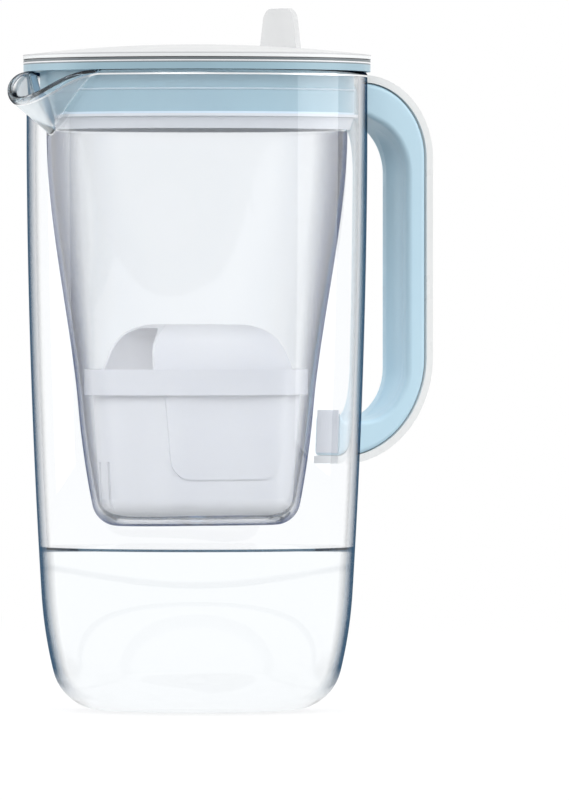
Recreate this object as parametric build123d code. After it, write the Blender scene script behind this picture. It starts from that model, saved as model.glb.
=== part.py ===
from build123d import *
import os
from math import asin, atan2, cos, degrees, hypot, radians, sin, sqrt, tan

# A glass water filter jug: a thin glass jug with a drawn spout, a bonded C handle, a hopper
# that hangs in the rim and holds an oval filter cartridge, and a lid with a hinged fill flap.
# Millimetres. +Z is up and the origin is on the jug's axis at the underside of its base.
# The spout points to -X and the handle to +X.

# Glass jug
rim_height = 271.5
rim_radius = 72.5
rim_band = 33.5  # straight band below the rim
waist_inset = 6.3  # the side ends this far inside the rim, where the base corner starts
waist_height = 50.0
side_bulge = 1.3  # the side stands this far out of a straight cone
corner_width = 26.2  # from the waist in to the flat ring that the jug stands on
glass_wall = 3.5
base_thickness = 6.0

# Spout
spout_overhang = 18.0  # nose of the outline past the rim
spout_half_width = 29.0  # at the rim
spout_nose_radius = 22.0
spout_fall = 28.0  # degrees that the outline's plane slopes down away from the rim
spout_depth = 28.0  # from the rim down to the keel's foot on the wall
spout_foot_inset = 1.0  # the keel's foot lies this far inside the wall's outside
spout_wall = 2.6
spout_bore_lift = 2.8  # the bore is the outside moved in by the wall and up by this
spout_overdraw = 1.3  # the cone is drawn this many times as far as the lip, then cut
spout_tail = 10.0  # and this far back into the wall
lip_bend_radius = 26.0  # side view of the lip where it leaves the rim
lip_bend_inset = 6.5  # this bend starts this far inside the rim
lip_slope = 45.0  # degrees that the lip's tip points down

# Handle
handle_width = 22.0
handle_height = 166.7
handle_top_drop = 0.6  # from the rim down to the handle's top
finger_depth = 27.2  # from the rim to the finger side of the grip
grip_depth = 9.2  # from the finger side to the cover's inner face
upper_arm = 14.6  # height of the upper arm at the jug
lower_arm = 18.6
upper_bend = 35.5
lower_bend = 46.0
cover_thickness = 3.2
cover_gap = 0.2
grip_edge_round = 2.2
finger_top_slope = 24.0  # degrees that the upper arm's underside falls away from the jug
finger_top_bend = 24.0
finger_bottom_bend = 22.5
root_round = 5.5  # fillet where each arm meets the glass
root_land = 0.4  # each foot's reach along the glass past its fillet
root_bury = 1.0  # the fillets start this far inside the pads' outer face
groove_radius = 13.0  # section of the finger groove
groove_depth = 1.8
groove_end_radius = 20.0  # the groove leaves the grip on this radius and fades out
groove_end_turn = 75.0
peg_radius = 2.0
peg_length = 4.0
peg_gap = 0.15
peg_pitch = 30.0
peg_count = 3
pad_thickness = 0.8
pad_gap = 0.1
pad_margin = 1.5

# Collar ring and its seal
collar_overhang = 1.3  # past the rim's outside
collar_thickness = 2.8
skirt_gap = 2.2  # between the skirt and the glass
skirt_wall = 2.5
skirt_depth = 18.6  # below the rim
bead_height = 1.4
bead_reach = 0.7
bead_drop = 8.1
rebate_width = 2.0
rebate_depth = 1.7
seal_height = 6.2
seal_clearance = 0.35  # between the seal's lip and the glass
seal_lip = 1.1
seal_lip_root = 1.4  # the lip's thickness where it leaves the wedge
seal_shoulder_inset = 0.2
seal_foot_inset = 1.9

# Cartridge
collar_length = 51.0  # half sizes of the cartridge's collar
collar_width = 28.5
collar_height = 10.9
collar_wall = 1.8
deck_drop = 4.4
deck_thickness = 1.8
body_end_step = 3.5  # the body is this much smaller than the collar at its ends
body_side_step = 4.0
body_draft = 3.9  # degrees that its walls lean in towards the floor
body_depth = 51.7  # from the seat down to its floor's underside
body_round = 8.0
body_wall = 1.8
panel_relief = 0.8
panel_half_width = 30.5
panel_foot_half_width = 26.2
panel_height = 35.8
panel_round = 10.0
hood_height = 19.1  # above the collar
hood_half_length = 35.3
hood_top_half_length = 29.7
hood_end_round = 16.0
hood_half_width = 24.0
hood_top_half_width = 14.0
hood_side_round = 12.0
hood_wall = 1.6
ridge_slot_length = 6.0
ridge_slot_width = 1.5
ridge_slot_x = 14.0
ridge_slot_y = 3.5
end_slit_width = 1.5
end_slit_height = 20.0
end_slit_lift = 3.4  # above the body's underside
end_slit_pitch = 7.0
deck_slot_length = 8.0
deck_slot_width = 1.6
deck_slot_pitch = 4.4
deck_slot_count = 4
deck_slot_inset = 12.0  # from the collar's end to the middle of the slots
screen_thickness = 0.6
screen_length = 19.0
cup_height = 24.0  # outlet screen's side wall
fleece_thickness = 2.4
media_top_gap = 3.0
inner_gap = 0.2
inner_chamfer = 4.0  # bevel round the floors inside the body

# Hopper
hopper_wall = 2.0
fit_clearance = 0.3
shoulder_drop = 0.7  # from the seal down to the hopper's round shoulder
seat_height = 134.3  # underside of the cartridge's collar
seat_end_room = 1.0  # between that collar and the hopper at the ends
seat_side_room = 0.5
seat_ledge = 2.2
round_tangent = 55.0  # where a section's ends meet its sides, in degrees from +X
seat_tangent = 86.0
pocket_depth = 55.6  # from the seat down to the hopper's underside
pocket_end_taper = 8.3
pocket_side_taper = 7.1
floor_round = 11.0
floor_thickness = 2.5
outlet_radius = 6.0
retainer_reach = 1.4
retainer_height = 1.2
hopper_steps = 8
pocket_steps = 3

# Lid
lid_overhang = 0.2  # past the collar ring
lid_edge_height = 1.9
lid_rise = 4.5  # dome height above the edge
lid_shell = 1.8
lid_seam = 0.3
frame_flange = 2.1
frame_set_back = 0.2
snap_ring_width = 1.6
snap_gap = 0.1
lid_skirt_wall = 1.6
lid_skirt_depth = 7.0
web_thickness = 1.6
web_drop = 1.4  # web's underside below the collar's top
throat_radius = 37.0
throat_centre = -2.0
throat_wall = 1.6
throat_depth = 6.0
flap_gap = 0.5
flap_rest_gap = 0.3
flap_overlap = 3.0  # flap's edge past the throat's bore
flap_rim_wall = 1.2
flap_rim_gap = 0.6
flap_rim_depth = 3.0
flap_corner_round = 8.0

# Hinge and thumb tab
hinge_set_back = 9.0  # from the throat's bore to the hinge
hinge_below_dome = 4.6
pin_radius = 1.0
pin_clearance = 0.08
pin_seat_clearance = 0.04
knuckle_radius = 1.9
knuckle_half_length = 17.0
knuckle_web = 1.6
ear_radius = 2.1
ear_thickness = 3.4
ear_gap = 0.5
flap_tail = 2.2  # flap's edge behind the hinge
tab_half_width = 14.9
tab_top_half_width = 11.2
tab_height = 17.5  # above the dome
tab_thickness = 2.4
tab_round = 6.5
tab_set_back = 1.0
tab_foot_half_width = 12.0
tab_foot_gap = 0.1
notch_length = 12.0  # room behind the hinge for the tab to lean back

overcut = 1.0  # a cutting solid runs this far past what it cuts

# Heights and radii that follow
rim_bore = rim_radius - glass_wall
waist_radius = rim_radius - waist_inset
foot_radius = waist_radius - corner_width
band_height = rim_height - rim_band
finger_x = rim_radius + finger_depth
cover_inner_x = finger_x + grip_depth + cover_gap
handle_reach = cover_inner_x + cover_thickness
handle_top = rim_height - handle_top_drop
handle_bottom = handle_top - handle_height
finger_top = handle_top - upper_arm
finger_bottom = handle_bottom + lower_arm
collar_radius = rim_radius + collar_overhang
collar_top = rim_height + collar_thickness
skirt_radius = rim_bore - skirt_gap
skirt_bore = skirt_radius - skirt_wall
skirt_bottom = rim_height - skirt_depth
seal_bottom = skirt_bottom - seal_height
hopper_radius = skirt_bore - fit_clearance
hopper_bore = hopper_radius - hopper_wall
hopper_shoulder = seal_bottom - shoulder_drop
seat_length = collar_length + seat_end_room + hopper_wall  # half sizes of the hopper's oval
seat_width = collar_width + seat_side_room + hopper_wall
floor_height = seat_height - pocket_depth
floor_length = seat_length - pocket_end_taper
floor_width = seat_width - pocket_side_taper
cartridge_top = seat_height + collar_height
deck_top = cartridge_top - deck_drop
deck_bottom = deck_top - deck_thickness
body_length = collar_length - body_end_step
body_width = collar_width - body_side_step
body_floor_height = seat_height - body_depth
body_cavity_floor = body_floor_height + body_wall
cup_floor = body_cavity_floor + inner_gap
fleece_floor = cup_floor + screen_thickness + inner_gap
media_floor = fleece_floor + fleece_thickness + inner_gap
flange_top = collar_top + frame_flange
lid_radius = collar_radius + lid_overhang
lid_edge_bottom = flange_top + lid_seam
lid_edge_top = lid_edge_bottom + lid_edge_height
dome_top = lid_edge_top + lid_rise
dome_radius = (lid_radius**2 + lid_rise**2) / (2 * lid_rise)
lid_skirt_radius = hopper_bore - fit_clearance
lid_skirt_bore = lid_skirt_radius - lid_skirt_wall
web_bottom = collar_top - web_drop
web_top = web_bottom + web_thickness
throat_bottom = web_bottom - throat_depth
hinge_x = throat_centre + throat_radius + hinge_set_back
ear_reach = knuckle_half_length + ear_gap + ear_thickness
far = 2 * handle_reach
tall = 2 * rim_height


def dome_height(radius, depth=0.0):
    # Height of the lid's dome, or of a surface depth below it, at a distance from the axis.
    return dome_top - depth - dome_radius + sqrt(dome_radius**2 - radius**2)


hinge_height = dome_height(hinge_x) - hinge_below_dome


def side_radius(height):
    # Outer radius of the glass between the waist and the band.
    share = (height - waist_height) / (band_height - waist_height)
    cone = waist_radius + (rim_radius - waist_radius) * share
    return cone + 4 * side_bulge * share * (1 - share)


def ring(*points):
    # A polygon in radius and height, turned round the axis.
    return revolve(make_face(Plane.XZ * Polyline(*points, close=True)), Axis.Z)


def revolve_outline(*edges):
    return revolve(make_face(Plane.XZ * Curve(edges)), Axis.Z)


def side_prism(face, half_depth):
    # A face drawn in X and Z, made solid along Y.
    return extrude(Plane.XZ * face, half_depth, both=True)


def end_prism(face, half_depth):
    # A face drawn in Y and Z, made solid along X.
    return extrude(Plane.YZ * face, half_depth, both=True)


def polygon(*points):
    return make_face(Polyline(*points, close=True))


def block(x, y, z):
    # A box from three (low, high) pairs.
    size = Box(x[1] - x[0], y[1] - y[0], z[1] - z[0])
    return Pos((x[0] + x[1]) / 2, (y[0] + y[1]) / 2, (z[0] + z[1]) / 2) * size


def upright_cylinder(radius, low, high, x=0.0, y=0.0):
    return Pos(x, y, (low + high) / 2) * Cylinder(radius, high - low)


def oval(height, length, width, tangent=seat_tangent):
    # Four tangent arcs: two ends and two sides that meet where the normal is at tangent.
    c = cos(radians(tangent))
    s = sin(radians(tangent))
    end = (width - length * (1 - s) / c) / (s - (1 - s) * (1 - c) / c)
    x = length - end + end * c
    y = end * s
    outline = [
        ThreePointArc((x, -y), (length, 0), (x, y)),
        ThreePointArc((x, y), (0, width), (-x, y)),
        ThreePointArc((-x, y), (-length, 0), (-x, -y)),
        ThreePointArc((-x, -y), (0, -width), (x, -y)),
    ]
    return Pos(0, 0, height) * make_face(Curve(outline))


def oval_prism(low, high, length, width):
    return extrude(oval(low, length, width), high - low)


def slot_prism(low, high, inset):
    # The cartridge body's straight-sided outline moved in by inset, with upright walls.
    outline = SlotOverall(2 * (body_length - inset), 2 * (body_width - inset))
    return extrude(Pos(0, 0, low) * outline, high - low)


def export(name, shape):
    export_step(shape, f"parts/{name}.step")


# Glass jug


def corner_arcs(foot, waist, lean):
    # Two tangent arcs from the level foot up to the side, which leans out by lean.
    level = Vector(1, 0)
    side = Vector(lean, 1).normalized()
    span = Vector(*waist) - Vector(*foot)
    along = span.dot(level + side)
    spread = 2 * (1 - level.dot(side))
    pull = (sqrt(along**2 + spread * span.dot(span)) - along) / spread
    joint = (Vector(*foot) + level * pull + Vector(*waist) - side * pull) / 2
    lower = TangentArc(foot, joint, tangent=level)
    upper = TangentArc(joint, waist, tangent=lower % 1)
    return lower, upper


def jug_revolve(inset, floor, top):
    # The jug's profile moved in by inset, filled from floor to top.
    waist = (waist_radius - inset, waist_height)
    band = (rim_radius - inset, band_height)
    middle_height = (waist_height + band_height) / 2
    middle = (side_radius(middle_height) - inset, middle_height)
    foot = (foot_radius - inset, floor)
    lean = (rim_radius - waist_radius + 4 * side_bulge) / (band_height - waist_height)
    lower, upper = corner_arcs(foot, waist, lean)
    return revolve_outline(
        Line((0, floor), foot),
        lower,
        upper,
        ThreePointArc(waist, middle, band),
        Line(band, (band[0], top)),
        Line((band[0], top), (0, top)),
        Line((0, top), (0, floor)),
    )


def spout_cone():
    # A cone with its point at the keel's foot. Its outline, on a sloping plane, is a V with
    # a round nose, drawn past the lip and back into the wall.
    spout_reach = rim_radius + spout_overhang
    point = Vector(rim_radius - spout_foot_inset, 0, rim_height - spout_depth)
    corner_u = sqrt(rim_radius**2 - spout_half_width**2)
    nose_u = spout_reach - spout_nose_radius
    span = hypot(nose_u - corner_u, spout_half_width)
    half_angle = atan2(spout_half_width, nose_u - corner_u) - asin(spout_nose_radius / span)
    slope = tan(radians(spout_fall))

    def on_plane(u, v):
        on_slope = Vector(u, v, rim_height - (u - corner_u) * slope)
        return point + (on_slope - point) * spout_overdraw

    side_u = nose_u + spout_nose_radius * sin(half_angle)
    side_v = spout_nose_radius * cos(half_angle)
    back_u = corner_u - spout_tail * cos(half_angle)
    back_v = spout_half_width + spout_tail * sin(half_angle)
    right, left = on_plane(side_u, side_v), on_plane(side_u, -side_v)
    back_right, back_left = on_plane(back_u, back_v), on_plane(back_u, -back_v)
    outline = [
        Line(back_right, right),
        ThreePointArc(right, on_plane(spout_reach, 0), left),
        Line(left, back_left),
        Line(back_left, back_right),
    ]
    return loft([make_face(Curve(outline)), Vertex(*point)], ruled=True)


def lip_cutter():
    # Everything above the rim and the lip, in side view: level, one bend, then the slope.
    angle = radians(lip_slope)
    bend_start = rim_radius - lip_bend_inset

    def on_bend(turn):
        drop = lip_bend_radius * (1 - cos(turn))
        return (bend_start + lip_bend_radius * sin(turn), rim_height - drop)

    start, end = on_bend(0), on_bend(angle)
    outer = (far, end[1] - (far - end[0]) * tan(angle))
    outline = [
        Line((-far, rim_height), start),
        ThreePointArc(start, on_bend(angle / 2), end),
        Line(end, outer),
        Line(outer, (far, tall)),
        Line((far, tall), (-far, tall)),
        Line((-far, tall), (-far, rim_height)),
    ]
    return side_prism(make_face(Curve(outline)), far)


def glass_jug():
    above = rim_height + spout_depth
    cone = spout_cone()
    cone_bore = Pos(-spout_wall, 0, spout_bore_lift) * cone
    outer = jug_revolve(0, 0, above) + cone
    inner = jug_revolve(glass_wall, base_thickness, above + glass_wall) + cone_bore
    return mirror(outer - inner - lip_cutter(), Plane.YZ)


# Handle


def handle_block(offset, half_width):
    # The C's outer outline moved in by offset from the cover's outside, filled to the axis.
    reach = handle_reach - offset
    top = handle_top - offset
    bottom = handle_bottom + offset
    upper = upper_bend - offset
    lower = lower_bend - offset
    half_turn = sin(radians(45))
    upper_x, upper_z = reach - upper, top - upper
    lower_x, lower_z = reach - lower, bottom + lower
    outline = [
        Line((0, top), (upper_x, top)),
        ThreePointArc(
            (upper_x, top),
            (upper_x + upper * half_turn, upper_z + upper * half_turn),
            (reach, upper_z),
        ),
        Line((reach, upper_z), (reach, lower_z)),
        ThreePointArc(
            (reach, lower_z),
            (lower_x + lower * half_turn, lower_z - lower * half_turn),
            (lower_x, bottom),
        ),
        Line((lower_x, bottom), (0, bottom)),
        Line((0, bottom), (0, top)),
    ]
    return side_prism(make_face(Curve(outline)), half_width)


pad_outside = pad_thickness + 2 * pad_gap
upper_root_x = rim_radius + pad_outside - root_bury
lower_root_x = side_radius(finger_bottom) + pad_outside - root_bury
half_corner = radians((90 - finger_top_slope) / 2)  # of the loop's upper corners
upper_root_end = finger_top - root_round / tan(half_corner) - root_land
lower_root_end = finger_bottom + root_round + root_land
finger_fall = (finger_x - upper_root_x) * tan(radians(finger_top_slope))


def corner_at(face, x, z):
    return face.vertices().sort_by_distance((x, z))[0]


def finger_loop(half_width):
    # The hole between the handle and the jug. It reaches into the jug between the two feet.
    inside = waist_radius / 2
    face = polygon(
        (inside, upper_root_end),
        (upper_root_x, upper_root_end),
        (upper_root_x, finger_top),
        (finger_x, finger_top - finger_fall),
        (finger_x, finger_bottom),
        (lower_root_x, finger_bottom),
        (lower_root_x, lower_root_end),
        (inside, lower_root_end),
    )
    face = fillet(corner_at(face, finger_x, finger_top - finger_fall), finger_top_bend)
    face = fillet(corner_at(face, finger_x, finger_bottom), finger_bottom_bend)
    face = fillet(corner_at(face, upper_root_x, finger_top), root_round)
    face = fillet(corner_at(face, lower_root_x, finger_bottom), root_round)
    return side_prism(face, half_width)


def jug_space(gap):
    return jug_revolve(-gap, -gap, tall)


def finger_groove():
    # A shallow channel down the finger side, which turns off the grip at both ends.
    high = finger_top - finger_fall - finger_top_bend * tan(half_corner)
    low = finger_bottom + finger_bottom_bend
    turn = radians(groove_end_turn)
    run = groove_end_radius * (1 - cos(turn))
    rise = groove_end_radius * sin(turn)
    half_run = groove_end_radius * (1 - cos(turn / 2))
    half_rise = groove_end_radius * sin(turn / 2)
    top_arc = ThreePointArc(
        (finger_x - run, 0, high + rise),
        (finger_x - half_run, 0, high + half_rise),
        (finger_x, 0, high),
    )
    bottom_arc = ThreePointArc(
        (finger_x, 0, low),
        (finger_x - half_run, 0, low - half_rise),
        (finger_x - run, 0, low - rise),
    )
    straight = Line((finger_x, 0, high), (finger_x, 0, low))
    path = Wire([top_arc.edge(), straight.edge(), bottom_arc.edge()])
    reach = groove_radius - 2 * groove_depth
    half = sqrt(groove_radius**2 - reach**2)
    left, right = (-half, -groove_depth), (half, -groove_depth)
    section = make_face(Curve([ThreePointArc(left, (0, groove_depth), right), Line(right, left)]))
    start = path @ 0
    plane = Plane(origin=start, x_dir=(0, 1, 0), z_dir=path % 0)
    return sweep(plane * section, path)


def cover_pegs(radius, length):
    # Locating pegs on the cover's inner face, in a row down the straight part of the grip.
    middle = (handle_top + handle_bottom) / 2
    pegs = Part()
    for index in range(peg_count):
        height = middle + (index - (peg_count - 1) / 2) * peg_pitch
        peg = Pos(cover_inner_x - length / 2, 0, height) * Rot(0, 90, 0) * Cylinder(radius, length)
        pegs += peg
    return pegs


def handle_grip():
    half = handle_width / 2
    grip = handle_block(cover_thickness + cover_gap, half) - finger_loop(handle_width)
    grip = fillet(grip.faces().filter_by(Axis.Y).edges(), grip_edge_round)
    grip -= finger_groove()
    grip -= cover_pegs(peg_radius + peg_gap, peg_length + cover_gap + peg_gap)
    return grip - jug_space(pad_outside)


def handle_cover():
    half = handle_width / 2
    band = handle_block(0, half) - handle_block(cover_thickness, handle_width)
    band += cover_pegs(peg_radius, peg_length)
    return band - jug_space(fit_clearance)


def bond_pad(low, high):
    # A thin pad between the glass and one foot of the handle.
    half = handle_width / 2 - pad_margin
    shell = jug_space(pad_gap + pad_thickness) - jug_space(pad_gap)
    window = block((waist_radius / 2, far), (-half, half), (low + pad_margin, high - pad_margin))
    return shell & window


# Collar ring and its seal


def funnel_collar():
    # A flange on the rim and a skirt inside the glass, with a bead round the skirt.
    bead = rim_height - bead_drop
    rebate = collar_top - rebate_depth
    return ring(
        (skirt_bore, skirt_bottom),
        (skirt_radius, skirt_bottom),
        (skirt_radius, bead - bead_height / 2),
        (skirt_radius + bead_reach, bead),
        (skirt_radius, bead + bead_height / 2),
        (skirt_radius, rim_height),
        (collar_radius, rim_height),
        (collar_radius, collar_top),
        (skirt_bore + rebate_width, collar_top),
        (skirt_bore + rebate_width, rebate),
        (skirt_bore, rebate),
    )


def collar_gasket():
    # A wedge under the skirt, with a lip that wipes the glass.
    lip = rim_bore - seal_clearance
    return ring(
        (skirt_bore, seal_bottom),
        (skirt_radius - seal_foot_inset, seal_bottom),
        (skirt_radius - seal_shoulder_inset, skirt_bottom - seal_lip_root),
        (lip, skirt_bottom - seal_lip),
        (lip, skirt_bottom),
        (skirt_bore, skirt_bottom),
    )


# Hopper


def hopper_section(share, inset):
    # The upper hopper from the seat, share 0, to the shoulder, share 1, easing into the round.
    eased = share + share**2 * (1 - share)
    height = seat_height + (hopper_shoulder - seat_height) * share
    length = seat_length + (hopper_radius - seat_length) * eased
    width = seat_width + (hopper_radius - seat_width) * eased
    tangent = seat_tangent + (round_tangent - seat_tangent) * eased
    return oval(height, length - inset, width - inset, tangent)


def pocket_section(share, inset, floor):
    # The pocket from the seat, share 0, down to the floor, share 1.
    eased = (share + share**2) / 2
    height = seat_height + (floor - seat_height) * share
    length = seat_length + (floor_length - seat_length) * eased
    width = seat_width + (floor_width - seat_width) * eased
    return oval(height, length - inset, width - inset)


def bottom_edges(shape):
    return shape.faces().sort_by(Axis.Z)[0].edges()


def hopper_loft(upper, lower, inset, floor):
    # One smooth skin from the shoulder to the pocket's floor.
    sections = [hopper_section(share, inset) for share in upper]
    sections += [pocket_section(share, inset, floor) for share in lower]
    return loft(sections)


def hopper():
    upper = [1 - step / hopper_steps for step in range(hopper_steps + 1)]
    lower = [(step + 1) / pocket_steps for step in range(pocket_steps)]
    inner_floor = floor_height + floor_thickness
    outer = hopper_loft(upper, lower, 0, floor_height)
    outer = fillet(bottom_edges(outer), floor_round)
    bore = hopper_loft(upper, lower, hopper_wall, inner_floor)
    bore -= block((-far, far), (-far, far), (0, seat_height))
    pocket = loft(
        [pocket_section(0, hopper_wall + seat_ledge, inner_floor)]
        + [pocket_section(share, hopper_wall, inner_floor) for share in lower]
    )
    pocket = fillet(bottom_edges(pocket), floor_round - hopper_wall)
    rebate = collar_top - rebate_depth
    lip_radius = skirt_bore + rebate_width - fit_clearance
    neck = ring(
        (hopper_bore, hopper_shoulder),
        (hopper_radius, hopper_shoulder),
        (hopper_radius, seal_bottom - retainer_height),
        (hopper_radius + retainer_reach, seal_bottom - retainer_height / 2),
        (hopper_radius + retainer_reach, seal_bottom),
        (hopper_radius, seal_bottom),
        (hopper_radius, rebate),
        (lip_radius, rebate),
        (lip_radius, collar_top - inner_gap),
        (hopper_bore, collar_top - inner_gap),
    )
    outlet = upright_cylinder(outlet_radius, 0, inner_floor + overcut)
    return outer - bore - pocket - outlet + neck


# Cartridge


def tapered_body(low, high, inset):
    # The body's tapered shape moved in by inset, between two heights.
    lean = tan(radians(body_draft))
    step = inset + (seat_height - high) * lean
    top = Pos(0, 0, high) * SlotOverall(2 * (body_length - step), 2 * (body_width - step))
    return extrude(top, high - low, dir=(0, 0, -1), taper=body_draft)


def side_panel():
    # A U-shaped raised field on each long side.
    bottom = seat_height - panel_height
    face = polygon(
        (-panel_half_width, seat_height),
        (panel_half_width, seat_height),
        (panel_foot_half_width, bottom),
        (-panel_foot_half_width, bottom),
    )
    face = fillet(face.vertices().group_by(Axis.Y)[0], panel_round)
    field = side_prism(face, collar_width)
    return tapered_body(body_floor_height, seat_height, -panel_relief) & field


def cartridge_body():
    rim_top = deck_bottom - inner_gap / 2
    rim_length = collar_length - collar_wall - fit_clearance
    rim_width = collar_width - collar_wall - fit_clearance
    outer = tapered_body(body_floor_height, seat_height, 0)
    outer = fillet(bottom_edges(outer), body_round) + side_panel()
    outer += oval_prism(seat_height, rim_top, rim_length, rim_width)
    cavity = tapered_body(body_cavity_floor, seat_height, body_wall)
    cavity = chamfer(bottom_edges(cavity), inner_chamfer)
    mouth = slot_prism(seat_height, rim_top + overcut, body_wall)
    body = outer - cavity - mouth
    slit_bottom = body_floor_height + end_slit_lift
    for side in (-1, 1):
        middle = side * end_slit_pitch / 2
        across = (middle - end_slit_width / 2, middle + end_slit_width / 2)
        body -= block((-far, far), across, (slit_bottom, slit_bottom + end_slit_height))
    return body - upright_cylinder(outlet_radius, 0, body_cavity_floor + overcut)


def hood_solid(inset):
    # An arch across the cartridge, cut to a rounded trapezium in side view.
    base = deck_bottom + deck_thickness / 2
    top = cartridge_top + hood_height - inset
    arch = polygon(
        (-(hood_half_width - inset), base),
        (hood_half_width - inset, base),
        (hood_top_half_width - inset, top),
        (-(hood_top_half_width - inset), top),
    )
    arch = fillet(arch.vertices().group_by(Axis.Y)[-1], hood_side_round - inset)
    return end_prism(arch, collar_length)


def hood():
    base = deck_bottom + deck_thickness / 2
    top = cartridge_top + hood_height
    side = polygon(
        (-hood_half_length, base),
        (hood_half_length, base),
        (hood_top_half_length, top),
        (-hood_top_half_length, top),
    )
    side = fillet(side.vertices().group_by(Axis.Y)[-1], hood_end_round)
    shell = (hood_solid(0) - hood_solid(hood_wall)) & side_prism(side, collar_width)
    for x in (-ridge_slot_x, ridge_slot_x):
        for y in (-ridge_slot_y, ridge_slot_y):
            along = (x - ridge_slot_length / 2, x + ridge_slot_length / 2)
            across = (y - ridge_slot_width / 2, y + ridge_slot_width / 2)
            shell -= block(along, across, (cartridge_top, tall))
    return shell


def deck_slots():
    slots = Part()
    for side in (-1, 1):
        centre = side * (collar_length - deck_slot_inset)
        along = (centre - deck_slot_length / 2, centre + deck_slot_length / 2)
        for index in range(deck_slot_count):
            middle = (index - (deck_slot_count - 1) / 2) * deck_slot_pitch
            across = (middle - deck_slot_width / 2, middle + deck_slot_width / 2)
            slots += block(along, across, (deck_bottom - overcut, deck_top + overcut))
    return slots


def cartridge_cap():
    inner_length = collar_length - collar_wall
    inner_width = collar_width - collar_wall
    collar = oval_prism(seat_height, cartridge_top, collar_length, collar_width)
    collar -= oval_prism(seat_height - overcut, cartridge_top + overcut, inner_length, inner_width)
    half_wall = collar_wall / 2
    deck = oval_prism(deck_bottom, deck_top, inner_length + half_wall, inner_width + half_wall)
    return collar + (deck - deck_slots()) + hood()


def inlet_screen(side):
    # A mesh panel under the deck's slots at one end.
    top = deck_bottom - inner_gap
    mouth = slot_prism(top - screen_thickness, top, body_wall + inner_gap)
    along = sorted((side * (collar_length - screen_length), side * collar_length))
    window = block(along, (-far, far), (0, tall))
    return mouth & window


def cartridge_outlet_screen():
    # A mesh cup in the foot of the body, behind its slits.
    wall = body_wall + inner_gap
    top = cup_floor + cup_height
    outer = chamfer(bottom_edges(tapered_body(cup_floor, top, wall)), inner_chamfer)
    inner = tapered_body(cup_floor + screen_thickness, top + overcut, wall + screen_thickness)
    return outer - chamfer(bottom_edges(inner), inner_chamfer)


def cartridge_filling(low, high):
    # A slice of what fills the cup and the body above it.
    inset = body_wall + 2 * inner_gap + screen_thickness
    whole = chamfer(bottom_edges(tapered_body(fleece_floor, seat_height, inset)), inner_chamfer)
    return whole & block((-far, far), (-far, far), (low, high))


# Lid


def below_dome(depth):
    # Everything inside the lid's rim that lies deeper than depth below its top surface.
    ball = Pos(0, 0, dome_top - dome_radius) * Rot(90, 0, 0) * Sphere(dome_radius - depth)
    return upright_cylinder(lid_radius, 0, tall) & ball


def dome_shell():
    outer = below_dome(0)
    outer -= upright_cylinder(lid_radius + overcut, -overcut, lid_edge_bottom)
    inner = below_dome(lid_shell) & upright_cylinder(lid_radius - lid_shell, 0, tall)
    return outer - inner


def flap_outline(gap, tail):
    # A disc over the throat with a tongue to the hinge.
    disc = Pos(throat_centre, 0) * Circle(throat_radius + flap_overlap + gap)
    front = throat_centre + throat_radius / 2
    back = hinge_x + tail
    half = knuckle_half_length + gap
    tongue = Pos((front + back) / 2, 0) * Rectangle(back - front, 2 * half)
    face = disc + tongue
    corner_x = throat_centre + sqrt((throat_radius + flap_overlap + gap) ** 2 - half**2)
    corners = [corner_at(face, corner_x, half), corner_at(face, corner_x, -half)]
    return fillet(corners, flap_corner_round)


def lid_prism(face):
    return extrude(face, tall)


def lid_top():
    opening = flap_outline(flap_gap, notch_length)
    return dome_shell() - lid_prism(opening)


def throat_tube():
    centre = throat_centre
    outer = upright_cylinder(throat_radius + throat_wall, throat_bottom, tall, centre)
    inner = upright_cylinder(throat_radius, 0, tall + overcut, centre)
    return (outer - inner) & below_dome(lid_shell + flap_rest_gap)


def hinge_ears():
    ears = Part()
    inner = knuckle_half_length + ear_gap
    for side in (-1, 1):
        across = sorted((side * inner, side * (inner + ear_thickness)))
        middle = side * (inner + ear_thickness / 2)
        post = block((hinge_x - ear_radius, hinge_x + ear_radius), across, (web_bottom, hinge_height))
        cheek = Pos(hinge_x, middle, hinge_height) * Rot(90, 0, 0) * Cylinder(ear_radius, ear_thickness)
        ears += post + cheek
    return ears


def hinge_rod(radius, half_length):
    return Pos(hinge_x, 0, hinge_height) * Rot(90, 0, 0) * Cylinder(radius, 2 * half_length)


def lid_frame():
    snap_outer = lid_radius - lid_shell - fit_clearance
    snap_inner = snap_outer - snap_ring_width
    frame = ring(
        (lid_skirt_bore, collar_top - lid_skirt_depth),
        (lid_skirt_radius, collar_top - lid_skirt_depth),
        (lid_skirt_radius, collar_top),
        (lid_radius - frame_set_back, collar_top),
        (lid_radius - frame_set_back, flange_top),
        (snap_outer, flange_top),
        (snap_outer, dome_height(snap_outer, lid_shell) - snap_gap),
        (snap_inner, dome_height(snap_outer, lid_shell) - snap_gap),
        (snap_inner, flange_top),
        (lid_skirt_bore, flange_top),
    )
    web = upright_cylinder(lid_skirt_radius - lid_skirt_wall / 2, web_bottom, web_top)
    frame += web - upright_cylinder(throat_radius, 0, tall, throat_centre)
    frame += throat_tube()
    frame += hinge_ears()
    return frame - hinge_rod(pin_radius + pin_seat_clearance, ear_reach + overcut)


def flap_hinge_pin():
    return hinge_rod(pin_radius, ear_reach)


# Flap and thumb tab


def tab_face(foot_gap):
    # The tab seen from the spout, with a narrower foot through the flap.
    base = dome_height(hinge_x)
    top = base + tab_height
    blade = polygon(
        (-tab_half_width, base),
        (tab_half_width, base),
        (tab_top_half_width, top),
        (-tab_top_half_width, top),
    )
    blade = fillet(blade.vertices().group_by(Axis.Y)[-1], tab_round)
    foot_half = tab_foot_half_width + foot_gap
    foot = polygon(
        (-foot_half, base - lid_shell),
        (foot_half, base - lid_shell),
        (foot_half, base + lid_shell),
        (-foot_half, base + lid_shell),
    )
    return blade, foot


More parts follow.
